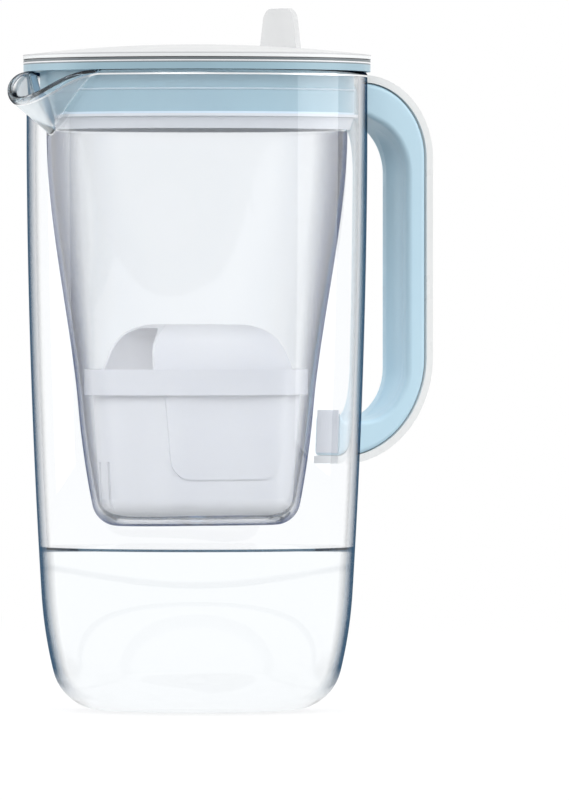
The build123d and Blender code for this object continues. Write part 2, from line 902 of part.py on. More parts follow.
def tab_prism(face, gap):
    back = hinge_x - tab_set_back + gap
    front = back - tab_thickness - 2 * gap
    return Pos((front + back) / 2, 0, 0) * end_prism(face, (back - front) / 2)


def thumb_tab():
    blade, foot = tab_face(0)
    above = tab_prism(blade, 0) - below_dome(-tab_foot_gap)
    return above + (tab_prism(foot, 0) - below_dome(lid_shell))


def fill_flap():
    outline = flap_outline(0, flap_tail)
    flap = dome_shell() & lid_prism(outline)
    rim_outer = throat_radius - flap_rim_gap
    rim_low = dome_height(throat_radius, lid_shell) - flap_rim_depth
    rim = upright_cylinder(rim_outer, rim_low, tall, throat_centre)
    rim -= upright_cylinder(rim_outer - flap_rim_wall, 0, tall + overcut, throat_centre)
    flap += rim & below_dome(lid_shell / 2)
    knuckle = hinge_rod(knuckle_radius, knuckle_half_length)
    along = (hinge_x - knuckle_web / 2, hinge_x + knuckle_web / 2)
    across = (-knuckle_half_length, knuckle_half_length)
    web = block(along, across, (hinge_height, tall)) & below_dome(lid_shell / 2)
    flap += knuckle + web
    flap -= hinge_rod(pin_radius + pin_clearance, ear_reach)
    _, foot = tab_face(tab_foot_gap)
    return flap - tab_prism(foot, tab_foot_gap)


os.makedirs("parts", exist_ok=True)

export("glass_jug", glass_jug())
export("handle_grip", handle_grip())
export("handle_cover", handle_cover())
export("upper_bond_pad", bond_pad(upper_root_end, handle_top - cover_thickness))
export("lower_bond_pad", bond_pad(handle_bottom + cover_thickness, lower_root_end))

export("funnel_collar", funnel_collar())
export("collar_gasket", collar_gasket())
export("funnel_hopper", hopper())

export("cartridge_body", cartridge_body())
export("cartridge_cap", cartridge_cap())
export("inlet_screen_spout_side", inlet_screen(-1))
export("inlet_screen_handle_side", inlet_screen(1))
export("cartridge_outlet_screen", cartridge_outlet_screen())
export("cartridge_fleece", cartridge_filling(fleece_floor, fleece_floor + fleece_thickness))
export("cartridge_media", cartridge_filling(media_floor, seat_height - media_top_gap))

export("lid_top", lid_top())
export("lid_frame", lid_frame())
export("flap_hinge_pin", flap_hinge_pin())
export("fill_flap", fill_flap())
export("thumb_tab", thumb_tab())
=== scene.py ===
from math import asin, atan2, cos, hypot, pi, radians, sin, sqrt, tan

import bpy
import numpy as np
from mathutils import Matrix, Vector


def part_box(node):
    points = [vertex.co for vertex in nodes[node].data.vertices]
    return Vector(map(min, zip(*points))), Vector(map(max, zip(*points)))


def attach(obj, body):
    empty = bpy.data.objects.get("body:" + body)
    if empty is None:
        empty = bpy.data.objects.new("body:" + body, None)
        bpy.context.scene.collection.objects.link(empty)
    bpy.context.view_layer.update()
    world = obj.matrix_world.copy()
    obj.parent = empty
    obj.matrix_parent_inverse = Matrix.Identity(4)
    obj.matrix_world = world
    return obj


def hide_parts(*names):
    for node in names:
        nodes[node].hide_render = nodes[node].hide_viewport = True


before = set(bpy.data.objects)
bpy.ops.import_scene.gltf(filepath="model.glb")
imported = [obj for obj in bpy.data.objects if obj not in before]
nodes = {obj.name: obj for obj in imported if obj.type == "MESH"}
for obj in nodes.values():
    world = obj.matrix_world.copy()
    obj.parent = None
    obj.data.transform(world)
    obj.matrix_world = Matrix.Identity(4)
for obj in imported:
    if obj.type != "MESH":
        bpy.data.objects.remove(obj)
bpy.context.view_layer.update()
scene = bpy.context.scene
scene.view_settings.view_transform = "Standard"
scene.cycles.max_bounces = 24
scene.cycles.transmission_bounces = 24
scene.cycles.transparent_max_bounces = 32


# The photograph's frame

IMAGE_WIDTH, IMAGE_HEIGHT = 569, 800
PIXELS_PER_METRE = 2350.0
AXIS_PIXEL_X = 197.0  # the jug's axis
BASE_PIXEL_Y = 710.0  # the jug's base
CAMERA_AZIMUTH = radians(-32.0)
CAMERA_DISTANCE = 4.9
CAMERA_HEIGHT = 0.175


def make_camera():
    towards = Vector((sin(CAMERA_AZIMUTH), -cos(CAMERA_AZIMUTH), 0.0))
    right = Vector((cos(CAMERA_AZIMUTH), sin(CAMERA_AZIMUTH), 0.0))
    aside = right * ((IMAGE_WIDTH / 2 - AXIS_PIXEL_X) / PIXELS_PER_METRE)
    target_height = (BASE_PIXEL_Y - IMAGE_HEIGHT / 2) / PIXELS_PER_METRE
    data = bpy.data.cameras.new("camera")
    data.sensor_width = 36.0
    data.lens = data.sensor_width * CAMERA_DISTANCE * PIXELS_PER_METRE / IMAGE_HEIGHT
    data.clip_end = 60.0
    camera = bpy.data.objects.new("camera", data)
    scene.collection.objects.link(camera)
    camera.location = aside + towards * CAMERA_DISTANCE + Vector((0, 0, CAMERA_HEIGHT))
    line = aside + Vector((0, 0, target_height)) - camera.location
    camera.rotation_euler = line.to_track_quat("-Z", "Y").to_euler()
    scene.camera = camera


# Material helpers

STEEL_LIGHT = (0.62, 0.63, 0.64, 1.0)
STEEL_DARK = (0.5, 0.51, 0.52, 1.0)
FLEECE_LIGHT = (0.84, 0.84, 0.82, 1.0)
FLEECE_DARK = (0.7, 0.7, 0.68, 1.0)
CARBON = (0.02, 0.02, 0.021, 1.0)
RESIN = (0.26, 0.15, 0.05, 1.0)
CLEAR = (0.995, 0.995, 1.0, 1.0)  # what a lamp's light keeps on its way through glass
WAVE_TO_PITCH = 0.314  # a wave texture's scale for bands one metre apart
GLINT_ROUGHNESS = 0.3
GLASS_IOR, WATER_IOR = 1.45, 1.33


def new_material(name):
    material = bpy.data.materials.new(name)
    material.use_nodes = True
    tree = material.node_tree
    shader = tree.nodes["Principled BSDF"]
    return material, tree, shader


def add_node(tree, kind, **settings):
    node = tree.nodes.new(kind)
    for key, value in settings.items():
        setattr(node, key, value)
    return node


def set_inputs(node, **values):
    for key, value in values.items():
        node.inputs[key.replace("_", " ")].default_value = value


def linear(red, green, blue):
    """An sRGB colour in 0 to 255 as Blender's linear colour."""
    parts = []
    for value in (red, green, blue):
        share = value / 255
        parts.append(share / 12.92 if share <= 0.04045 else ((share + 0.055) / 1.055) ** 2.4)
    return (*parts, 1.0)


def noise(tree, scale, detail=3.0, stretch=(1, 1, 1)):
    """Noise in the object's own coordinates, with its cells stretched along an axis."""
    place = add_node(tree, "ShaderNodeTexCoord")
    mapping = add_node(tree, "ShaderNodeMapping")
    mapping.inputs["Scale"].default_value = stretch
    tree.links.new(place.outputs["Object"], mapping.inputs["Vector"])
    texture = add_node(tree, "ShaderNodeTexNoise")
    texture.inputs["Scale"].default_value = scale
    texture.inputs["Detail"].default_value = detail
    tree.links.new(mapping.outputs["Vector"], texture.inputs["Vector"])
    return texture.outputs["Fac"]


def ramp(tree, source, low, high, start=0.35, end=0.65):
    """source turned into a colour or a value between low and high."""
    node = add_node(tree, "ShaderNodeMapRange")
    set_inputs(node, From_Min=start, From_Max=end, To_Min=low, To_Max=high)
    tree.links.new(source, node.inputs["Value"])
    return node.outputs["Result"]


def blend_colours(tree, factor, first, second):
    node = add_node(tree, "ShaderNodeMix", data_type="RGBA")
    node.inputs["A"].default_value = first
    node.inputs["B"].default_value = second
    tree.links.new(factor, node.inputs["Factor"])
    return node.outputs["Result"]


def object_height(tree):
    """Height above the jug's base, the same in every pose."""
    place = add_node(tree, "ShaderNodeTexCoord")
    apart = add_node(tree, "ShaderNodeSeparateXYZ")
    tree.links.new(place.outputs["Object"], apart.inputs[0])
    return apart.outputs["Z"]


def with_painted_light_bands(tree, colour, bands):
    """A colour with level bands of painted highlight and painted shade laid over it. Each band has its
    middle, its half height and its colour.
    """
    height = object_height(tree)
    for middle, half, band in bands:
        inside = add_node(tree, "ShaderNodeMath", operation="COMPARE")
        inside.inputs[1].default_value = middle
        inside.inputs[2].default_value = half
        tree.links.new(height, inside.inputs[0])
        mix = add_node(tree, "ShaderNodeMix", data_type="RGBA")
        mix.inputs["B"].default_value = band
        tree.links.new(inside.outputs[0], mix.inputs["Factor"])
        tree.links.new(colour, mix.inputs["A"])
        colour = mix.outputs["Result"]
    return colour


def bump(tree, shader, height, distance, strength=1.0):
    node = add_node(tree, "ShaderNodeBump")
    node.inputs["Distance"].default_value = distance
    node.inputs["Strength"].default_value = strength
    tree.links.new(height, node.inputs["Height"])
    tree.links.new(node.outputs["Normal"], shader.inputs["Normal"])


def moulded_plastic(name, colour, shade, roughness, grain=2600.0, grain_depth=3e-6, cloud=38.0, bands=()):
    """Moulded plastic: fine grain, faint flow clouds and a slightly uneven gloss, with any level bands of
    painted highlight and painted shade laid over its colour.
    """
    material, tree, shader = new_material(name)
    clouds = noise(tree, cloud, 4.0, (1, 1, 0.5))
    clouded = blend_colours(tree, ramp(tree, clouds, 0, 1), colour, shade)
    tree.links.new(with_painted_light_bands(tree, clouded, bands), shader.inputs["Base Color"])
    polish = ramp(tree, noise(tree, 160.0, 5.0), roughness * 0.85, roughness * 1.2)
    tree.links.new(polish, shader.inputs["Roughness"])
    bump(tree, shader, noise(tree, grain, 2.0), grain_depth)
    return material


def drawn_steel(name):
    """Steel drawn through a die, with fine lines along the pin."""
    material, tree, shader = new_material(name)
    lines = noise(tree, 900.0, 2.0, (1, 0.02, 1))
    colour = blend_colours(tree, ramp(tree, lines, 0, 1), STEEL_LIGHT, STEEL_DARK)
    tree.links.new(colour, shader.inputs["Base Color"])
    tree.links.new(ramp(tree, lines, 0.24, 0.38), shader.inputs["Roughness"])
    set_inputs(shader, Metallic=1.0)
    bump(tree, shader, lines, 4e-6)
    return material


def woven_mesh(name, thread, gap, pitch=0.0006):
    """Plain woven plastic mesh: bright threads with darker gaps between them."""
    material, tree, shader = new_material(name)
    place = add_node(tree, "ShaderNodeTexCoord")
    waves = []
    for direction in ("X", "Y"):
        wave = add_node(tree, "ShaderNodeTexWave", wave_type="BANDS", bands_direction=direction)
        set_inputs(wave, Scale=WAVE_TO_PITCH / pitch, Distortion=0.0)
        tree.links.new(place.outputs["Object"], wave.inputs["Vector"])
        waves.append(wave.outputs["Fac"])
    weave = add_node(tree, "ShaderNodeMath", operation="MAXIMUM")
    tree.links.new(waves[0], weave.inputs[0])
    tree.links.new(waves[1], weave.inputs[1])
    share = ramp(tree, weave.outputs[0], 1, 0, 0.45, 0.8)
    tree.links.new(blend_colours(tree, share, thread, gap), shader.inputs["Base Color"])
    set_inputs(shader, Roughness=0.55)
    bump(tree, shader, weave.outputs[0], 6e-5)
    return material


def fleece(name):
    """Needled fleece: matted white fibres."""
    material, tree, shader = new_material(name)
    fibres = noise(tree, 1500.0, 6.0, (1, 1, 0.3))
    colour = blend_colours(tree, ramp(tree, fibres, 0, 1), FLEECE_LIGHT, FLEECE_DARK)
    tree.links.new(colour, shader.inputs["Base Color"])
    set_inputs(shader, Roughness=0.95, Sheen_Weight=0.4)
    bump(tree, shader, fibres, 1.5e-4)
    return material


def packed_grains(name, grain=0.0009):
    """Packed filter grains: most are black carbon, some are amber resin."""
    material, tree, shader = new_material(name)
    place = add_node(tree, "ShaderNodeTexCoord")
    cells = add_node(tree, "ShaderNodeTexVoronoi")
    set_inputs(cells, Scale=1.0 / grain)
    tree.links.new(place.outputs["Object"], cells.inputs["Vector"])
    apart = add_node(tree, "ShaderNodeSeparateColor")
    tree.links.new(cells.outputs["Color"], apart.inputs[0])
    amber = ramp(tree, apart.outputs[0], 0, 1, 0.58, 0.62)
    tree.links.new(blend_colours(tree, amber, CARBON, RESIN), shader.inputs["Base Color"])
    set_inputs(shader, Roughness=0.7)
    bump(tree, shader, ramp(tree, cells.outputs["Distance"], 1, 0, 0.0, 0.8), 3e-4)
    return material


def see_through(
    name,
    tint,
    edge,
    roughness=0.0,
    ior=GLASS_IOR,
    line=(0.6, 0.85),
    line_weight=0.8,
    wet=None,
    fade=None,
    haze=None,
):
    """Clear glass or plastic. Seen edge-on it shows a painted dark line in its dark edge colour, standing
    in for the refracted shade of real glass, and lamps shine through it.

    line is how far edge-on the skin is where the line starts and where it is full. wet is a height and
    the line's range below it. The line fades out between the two heights in fade. haze is the range and
    the weight of a faint shade that starts nearer to the middle."""
    material, tree, shader = new_material(name)
    shader.inputs["Base Color"].default_value = tint
    set_inputs(shader, Transmission_Weight=1.0, Roughness=roughness, IOR=ior)
    facing = add_node(tree, "ShaderNodeLayerWeight").outputs["Facing"]
    weight = ramp(tree, facing, 0, line_weight, *line)
    if wet:
        level, wet_line = wet
        below = add_node(tree, "ShaderNodeMath", operation="LESS_THAN")
        below.inputs[1].default_value = level
        tree.links.new(object_height(tree), below.inputs[0])
        wet_weight = ramp(tree, facing, 0, line_weight, *wet_line)
        wet_weight = combined(tree, "MULTIPLY", wet_weight, below.outputs[0])
        weight = combined(tree, "MAXIMUM", weight, wet_weight)
    if haze:
        start, end, share = haze
        weight = combined(tree, "MAXIMUM", weight, ramp(tree, facing, 0, share, start, end))
    if fade:
        weight = combined(tree, "MULTIPLY", weight, ramp(tree, object_height(tree), 0, 1, *fade))
    dark = add_node(tree, "ShaderNodeBsdfTransparent")
    dark.inputs["Color"].default_value = edge
    edge_on = mixed_shader(tree, weight, shader, dark)
    lamp = add_node(tree, "ShaderNodeLightPath")
    clear = add_node(tree, "ShaderNodeBsdfTransparent")
    clear.inputs["Color"].default_value = CLEAR
    shown = mixed_shader(tree, lamp.outputs["Is Shadow Ray"], edge_on, clear)
    tree.links.new(shown.outputs[0], tree.nodes["Material Output"].inputs["Surface"])
    return material


def combined(tree, operation, first, second):
    node = add_node(tree, "ShaderNodeMath", operation=operation)
    tree.links.new(first, node.inputs[0])
    tree.links.new(second, node.inputs[1])
    return node.outputs[0]


def glint(name, tint, colour, share, where=None):
    """Glass with a line or a field of light on it, which may follow a value stored on its vertices."""
    material, tree, shader = new_material(name)
    shader.inputs["Base Color"].default_value = tint
    set_inputs(shader, Transmission_Weight=1.0, Roughness=0.0, IOR=GLASS_IOR)
    bright = add_node(tree, "ShaderNodeBsdfGlossy")
    set_inputs(bright, Roughness=GLINT_ROUGHNESS)
    bright.inputs["Color"].default_value = colour
    mix = add_node(tree, "ShaderNodeMixShader")
    mix.inputs["Fac"].default_value = share
    if where:
        stored = add_node(tree, "ShaderNodeAttribute", attribute_name=where)
        tree.links.new(ramp(tree, stored.outputs["Fac"], 0, share, 0, 1), mix.inputs["Fac"])
    tree.links.new(shader.outputs[0], mix.inputs[1])
    tree.links.new(bright.outputs[0], mix.inputs[2])
    tree.links.new(mix.outputs[0], tree.nodes["Material Output"].inputs["Surface"])
    return material


def mixed_shader(tree, factor, first, second):
    mix = add_node(tree, "ShaderNodeMixShader")
    tree.links.new(factor, mix.inputs["Fac"])
    tree.links.new(first.outputs[0], mix.inputs[1])
    tree.links.new(second.outputs[0], mix.inputs[2])
    return mix


def paint(material, *names):
    for name in names:
        mesh = nodes[name].data
        mesh.materials.clear()
        mesh.materials.append(material)


# Stage

BACKGROUND = (1.0, 1.0, 1.0, 1.0)
WORLD_COLOUR = (1.0, 1.0, 1.0, 1.0)
WORLD_LEVEL = 0.92
FLOOR_SIZE, FLOOR_DROP = 60.0, 0.0002
FLOOR_COLOUR = (0.4, 0.4, 0.4, 1.0)
FAR_COLOUR = (0.0, 0.0, 0.0, 1.0)
FLOOR_GLOW = 0.58  # near the object; it rises to 1 away from it
FLOOR_FADE = (0.25, 1.4)  # it turns into the background between these distances
LAMP_TARGET = Vector((0, 0, 0.15))


def make_world():
    world = bpy.data.worlds.new("studio")
    scene.world = world
    world.use_nodes = True
    tree = world.node_tree
    light = tree.nodes["Background"]
    light.inputs["Color"].default_value = WORLD_COLOUR
    light.inputs["Strength"].default_value = WORLD_LEVEL
    shown = add_node(tree, "ShaderNodeBackground")
    shown.inputs["Color"].default_value = BACKGROUND
    shown.inputs["Strength"].default_value = 1.0
    mix = add_node(tree, "ShaderNodeMixShader")
    tree.links.new(seen_directly(tree), mix.inputs["Fac"])
    tree.links.new(light.outputs["Background"], mix.inputs[1])
    tree.links.new(shown.outputs["Background"], mix.inputs[2])
    tree.links.new(mix.outputs["Shader"], tree.nodes["World Output"].inputs["Surface"])


def seen_directly(tree):
    """1 for a ray from the camera, from a reflection or through glass."""
    path = add_node(tree, "ShaderNodeLightPath")
    first = add_node(tree, "ShaderNodeMath", operation="MAXIMUM")
    both = add_node(tree, "ShaderNodeMath", operation="MAXIMUM")
    tree.links.new(path.outputs["Is Camera Ray"], first.inputs[0])
    tree.links.new(path.outputs["Is Glossy Ray"], first.inputs[1])
    tree.links.new(first.outputs["Value"], both.inputs[0])
    tree.links.new(path.outputs["Is Transmission Ray"], both.inputs[1])
    return both.outputs["Value"]


def make_floor():
    """A pale floor that keeps the shadow near the object and turns into the background away from it."""
    bpy.ops.mesh.primitive_plane_add(size=FLOOR_SIZE, location=(0, 0, -FLOOR_DROP))
    floor = bpy.context.object
    floor.name = "floor"
    material, tree, shader = new_material("floor")
    set_inputs(shader, Roughness=1.0, Specular_IOR_Level=0.0)
    place = add_node(tree, "ShaderNodeTexCoord")
    distance = add_node(tree, "ShaderNodeVectorMath", operation="LENGTH")
    tree.links.new(place.outputs["Object"], distance.inputs[0])
    away = ramp(tree, distance.outputs["Value"], 0, 1, *FLOOR_FADE)
    tree.links.new(blend_colours(tree, away, FLOOR_COLOUR, FAR_COLOUR), shader.inputs["Base Color"])
    shader.inputs["Emission Color"].default_value = BACKGROUND
    glow = add_node(tree, "ShaderNodeMath", operation="MULTIPLY")
    tree.links.new(ramp(tree, distance.outputs["Value"], FLOOR_GLOW, 1.0, *FLOOR_FADE), glow.inputs[0])
    tree.links.new(seen_directly(tree), glow.inputs[1])
    tree.links.new(glow.outputs["Value"], shader.inputs["Emission Strength"])
    floor.data.materials.append(material)


def studio_direction(degrees_from_camera):
    """A level direction, so many degrees round to the camera's right."""
    turn = CAMERA_AZIMUTH + radians(degrees_from_camera)
    return Vector((sin(turn), -cos(turn), 0.0))


def soft_lamp(name, direction, distance, height, size, power):
    """A tall soft box, which shines through the glass but isn't seen through it."""
    data = bpy.data.lights.new(name, "AREA")
    data.shape = "RECTANGLE"
    data.size, data.size_y = size
    data.energy = power
    lamp = bpy.data.objects.new(name, data)
    scene.collection.objects.link(lamp)
    lamp.location = studio_direction(direction) * distance + Vector((0, 0, height))
    lamp.rotation_euler = (LAMP_TARGET - lamp.location).to_track_quat("-Z", "Y").to_euler()
    lamp.visible_camera = False
    lamp.visible_transmission = False


def make_lamps():
    lamps = (
        ("right_strip", 90, 1.3, 0.5, (0.95, 1.6), 10.0),
        ("left_strip", -106, 1.3, 0.5, (0.6, 1.6), 6.0),
        ("front_top", -12, 2.4, 1.5, (1.6, 1.2), 20.0),
    )
    for name, direction, distance, height, size, power in lamps:
        soft_lamp(name, direction, distance, height, size, power)


make_camera()
make_world()
make_floor()
make_lamps()


# Colours and edge lines

WATER_LEVEL = 0.0697
GLASS_TINT = linear(253, 254, 255)
# GLASS_EDGE, RIM_EDGE, LIP_EDGE, WATER_EDGE, PLASTIC_EDGE and FOOT_EDGE: painted dark lines where a clear
# skin is seen edge-on, standing in for refracted shade
GLASS_EDGE = linear(122, 150, 170)  # seen through twice, it is navy
RIM_EDGE = linear(34, 68, 96)
LIP_EDGE = linear(24, 52, 82)
SPOUT_SHEEN = linear(244, 251, 254)
WHITE = (1.0, 1.0, 1.0, 1.0)
BASE_FADE = (0.005, 0.018)  # the wall's line fades out between these heights
# WET_EDGE: a wider painted dark line where water stands behind the glass
WET_EDGE = (WATER_LEVEL, (0.57, 0.81))  # a wider line where water stands behind the glass
WATER_TINT = linear(254, 255, 255)
WATER_EDGE = linear(92, 116, 134)
PLASTIC_TINT = linear(251, 252, 253)
PLASTIC_EDGE = linear(92, 126, 166)
PLASTIC_ROUGHNESS = 0.03
FOOT_EDGE = linear(74, 104, 120)

# How far edge-on a skin is where its painted dark line starts and is full, and how strong the line is
WALL_LINE = {"line": (0.63, 0.86), "line_weight": 0.97, "wet": WET_EDGE, "fade": BASE_FADE}
BORE_LINE = {"line": (0.75, 0.95), "line_weight": 0.4, "fade": BASE_FADE}
RIM_LINE = {"line": (0.36, 0.74), "line_weight": 0.97}
LIP_LINE = {"line": (0.52, 0.76), "line_weight": 0.97}
HOPPER_LINE = {"line": (0.35, 0.86), "line_weight": 0.95, "haze": (0.15, 0.26, 0.05)}
OUTER_FOOT_LINE = {"line": (0.3, 0.8), "line_weight": 0.75}
INNER_FOOT_LINE = {"line": (0.5, 0.85), "line_weight": 0.95}
RIM_GLINT = 0.75  # share of light in the glint under the rim
SPOUT_GLINT = 0.42

# Level bands of painted highlight and painted shade on the plastic: middle, half height, colour
LID_LIGHT = linear(214, 215, 215)
LID_SHADE = linear(210, 211, 212)
LID_FINISH = {"roughness": 0.42, "grain_depth": 8e-7}
# On the lid's top: a painted highlight band, and a painted grey shade band just above it
LID_PAINTED_SHADE_AND_HIGHLIGHT = ((0.2774, 0.0006, linear(246, 249, 250)), (0.2785, 0.0003, linear(214, 215, 217)))
# On the lid's frame: painted dark shade in the seam under the lid's top, a painted highlight line below it,
# and a painted grey-blue shade band above the collar
FRAME_PAINTED_SHADE_AND_HIGHLIGHT = (
    (0.27595, 0.00055, linear(112, 120, 124)),
    (0.27515, 0.00025, linear(250, 250, 252)),
    (0.27455, 0.0003, linear(128, 142, 150)),
)
# On the collar: painted highlights on its bead and on its skirt's lower edge
COLLAR_PAINTED_HIGHLIGHTS = ((0.2634, 0.0004, linear(212, 229, 240)), (0.2533, 0.0005, linear(214, 231, 243)))


# The glass jug, with its spout drawn out of the wall

JUG_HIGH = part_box("glass_jug")[1]
RIM_HEIGHT = JUG_HIGH.z
RIM_RADIUS = JUG_HIGH.x
BAND_HEIGHT = RIM_HEIGHT - 0.0335
WAIST_HEIGHT = 0.05
WAIST_RADIUS = RIM_RADIUS - 0.0063
SIDE_BULGE = 0.0013
FOOT_RADIUS = WAIST_RADIUS - 0.0262
GLASS_WALL = 0.0035
BASE_THICKNESS = 0.006
SPOUT_HALF_WIDTH = 0.029
SPOUT_OUT = RIM_RADIUS + 0.018  # nose of the outline
SPOUT_NOSE_RADIUS = 0.022
SPOUT_FALL = radians(28.0)  # slope of the plane that the outline is drawn on
SPOUT_APEX = (RIM_RADIUS - 0.001, RIM_HEIGHT - 0.028)  # the keel's foot, out and up
SPOUT_BORE_SHIFT = (-0.0026, 0.0028)
SPOUT_TAIL = 0.010
LIP_BEND_RADIUS = 0.026
LIP_BEND_START = RIM_RADIUS - 0.0065
LIP_SLOPE = radians(45.0)
LIP_ROUND = 0.0016  # height of the fire-polished edge
LIP_START = 0.0006  # the lip's clearer bead starts this far out from the rim
SPOUT_START = 0.00005  # the spout's sheen starts this far out from the rim
SPOUT_BLEND = 0.0009  # its sheen grows from the wall over this much
WEB = 0.0009  # the spout flows into the wall over about this much
SPOUT_SPREAD = radians(40.0)
DENSE_COLUMNS, OTHER_COLUMNS = 110, 130
ARC_STEPS, SIDE_STEPS, BAND_STEPS, LIP_STEPS = 12, 22, 44, 10
NOSE_STEPS, EDGE_STEPS, WALL_STEPS = 40, 30, 160
FLOOR_SHARES = (0.0, 0.25, 0.5, 0.75, 0.92, 1.0)  # rings of the base, as shares of the foot's radius
WALL, BORE, RIM, GLINT, SPOUT, LIP = range(6)  # the jug's materials


def side_radius(height):
    share = (height - WAIST_HEIGHT) / (BAND_HEIGHT - WAIST_HEIGHT)
    cone = WAIST_RADIUS + (RIM_RADIUS - WAIST_RADIUS) * share
    return cone + 4 * SIDE_BULGE * share * (1 - share)


def arc_points(centre, start, end, steps):
    """Points on a short arc round centre, with the first left out."""
    first = atan2(start[1] - centre[1], start[0] - centre[0])
    last = atan2(end[1] - centre[1], end[0] - centre[0])
    radius = hypot(start[0] - centre[0], start[1] - centre[1])
    angles = [first + (last - first) * step / steps for step in range(1, steps + 1)]
    return [(centre[0] + radius * cos(a), centre[1] + radius * sin(a)) for a in angles]


def corner_profile(inset, floor):
    """The foot, two tangent arcs round the base's corner, and the side up to the band."""
    foot = Vector((FOOT_RADIUS - inset, floor))
    waist = Vector((WAIST_RADIUS - inset, WAIST_HEIGHT))
    level = Vector((1.0, 0.0))
    lean = (RIM_RADIUS - WAIST_RADIUS + 4 * SIDE_BULGE) / (BAND_HEIGHT - WAIST_HEIGHT)
    side = Vector((lean, 1.0)).normalized()
    span = waist - foot
    along = span.dot(level + side)
    spread = 2 * (1 - level.dot(side))
    pull = (sqrt(along**2 + spread * span.dot(span)) - along) / spread
    joint = (foot + level * pull + waist - side * pull) / 2
    inward = Vector((-side.y, side.x))
    low_radius = (joint - foot).length_squared / (2 * (joint - foot).y)
    high_radius = (joint - waist).length_squared / (2 * (joint - waist).dot(inward))
    points = [(foot.x * share, floor) for share in FLOOR_SHARES]
    points += arc_points((foot.x, floor + low_radius), foot, joint, ARC_STEPS)
    points += arc_points(waist + inward * high_radius, joint, waist, ARC_STEPS)
    for step in range(1, SIDE_STEPS + 1):
        height = WAIST_HEIGHT + (BAND_HEIGHT - WAIST_HEIGHT) * step / SIDE_STEPS
        points.append((side_radius(height) - inset, height))
    return points


def lip_outline():
    """The spout's outline on its sloping plane, as out, across and height."""
    corner = sqrt(RIM_RADIUS**2 - SPOUT_HALF_WIDTH**2)
    nose = SPOUT_OUT - SPOUT_NOSE_RADIUS
    span = hypot(nose - corner, SPOUT_HALF_WIDTH)
    half_angle = atan2(SPOUT_HALF_WIDTH, nose - corner) - asin(SPOUT_NOSE_RADIUS / span)
    side = (nose + SPOUT_NOSE_RADIUS * sin(half_angle), SPOUT_NOSE_RADIUS * cos(half_angle))
    back = (corner - SPOUT_TAIL * cos(half_angle), SPOUT_HALF_WIDTH + SPOUT_TAIL * sin(half_angle))
    quarter = pi / 2 - half_angle
    turn = [quarter - quarter * step / NOSE_STEPS for step in range(NOSE_STEPS + 1)]
    half = []
    for step in range(EDGE_STEPS):
        out = back[0] + (side[0] - back[0]) * step / EDGE_STEPS
        wide = back[1] + (side[1] - back[1]) * step / EDGE_STEPS
        half.append((out, wide))
    half += [(nose + SPOUT_NOSE_RADIUS * cos(a), SPOUT_NOSE_RADIUS * sin(a)) for a in turn]
    across = half + [(out, -wide) for out, wide in reversed(half[:-1])]
    out = np.array([point[0] for point in across])
    wide = np.array([point[1] for point in across])
    return out, wide, RIM_HEIGHT - (out - corner) * tan(SPOUT_FALL)


OUTLINE = lip_outline()


def spout_radius(angles, height, shift):
    """How far the spout's cone reaches at a height, for angles from the spout's middle."""
    out, wide, lip = OUTLINE
    apex_out, apex_height = SPOUT_APEX[0] + shift[0], SPOUT_APEX[1] + shift[1]
    share = (height - apex_height) / (lip - SPOUT_APEX[1])
    reach = apex_out + share * (out - SPOUT_APEX[0])
    across = share * wide
    turn = np.arctan2(across, reach)
    order = np.argsort(turn)
    return np.interp(angles, turn[order], np.hypot(reach, across)[order], left=0.0, right=0.0)


def wall_radius(angles, height, inset, shift):
    """The wall's radius at a height with the spout flowing into it."""
    plain = np.full_like(angles, RIM_RADIUS - inset)
    if height <= SPOUT_APEX[1] + shift[1]:
        return plain
    spout = spout_radius(angles, height, shift)
    near = np.clip(WEB - np.abs(plain - spout), 0.0, None)
    return np.maximum(plain, spout) + near**2 / (4 * WEB)


def lip_height(out):
    """Height of the rim at a distance out towards the spout: level, one bend, then the slope."""
    past = np.clip((out - LIP_BEND_START) / LIP_BEND_RADIUS, 0.0, sin(LIP_SLOPE))
    bend = LIP_BEND_RADIUS * (1 - np.sqrt(1 - past**2))
    slope_start = LIP_BEND_START + LIP_BEND_RADIUS * sin(LIP_SLOPE)
    return RIM_HEIGHT - bend - np.clip(out - slope_start, 0.0, None) * tan(LIP_SLOPE)


def wall_grid(angles, inset, shift):
    """Radii and heights from the band's foot to the rim, one row for each step."""
    heights = np.linspace(BAND_HEIGHT, RIM_HEIGHT, WALL_STEPS)
    radii = np.array([wall_radius(angles, height, inset, shift) for height in heights])
    over = lip_height(radii * np.cos(angles)) - heights[:, None]
    tops = np.empty_like(angles)
    for column in range(len(angles)):
        past = over[:, column] <= 0
        row = int(np.argmax(past)) if past.any() else WALL_STEPS - 1
        above, below = over[row - 1, column], over[row, column]
        share = above / max(above - below, 1e-9)
        tops[column] = heights[row - 1] + (heights[row] - heights[row - 1]) * share
    tops = np.clip(tops, None, RIM_HEIGHT)
    grid = []
    for step in range(1, BAND_STEPS + 1):
        level = BAND_HEIGHT + (tops - LIP_ROUND - BAND_HEIGHT) * step / BAND_STEPS
        row = [np.interp(level[c], heights, radii[:, c]) for c in range(len(angles))]
        grid.append((np.array(row), level))
    edge = np.array([np.interp(tops[c], heights, radii[:, c]) for c in range(len(angles))])
    return grid, (edge, tops)


def column_angles():
    """Angles from the spout's middle, closer together round the spout."""
    spout = np.linspace(-SPOUT_SPREAD, SPOUT_SPREAD, DENSE_COLUMNS, endpoint=False)
    rest = np.linspace(SPOUT_SPREAD, 2 * pi - SPOUT_SPREAD, OTHER_COLUMNS, endpoint=False)
    return np.concatenate([spout, rest])


def lathe_mesh(name, rows, angles):
    """A closed skin from rows of radii and heights, with one vertex at each end."""
    rings = [(-r * np.cos(angles), -r * np.sin(angles), z) for r, z in rows[1:-1]]
    poles = (0.0, 0.0, float(rows[0][1][0])), (0.0, 0.0, float(rows[-1][1][0]))
    return skin(name, rings, poles)


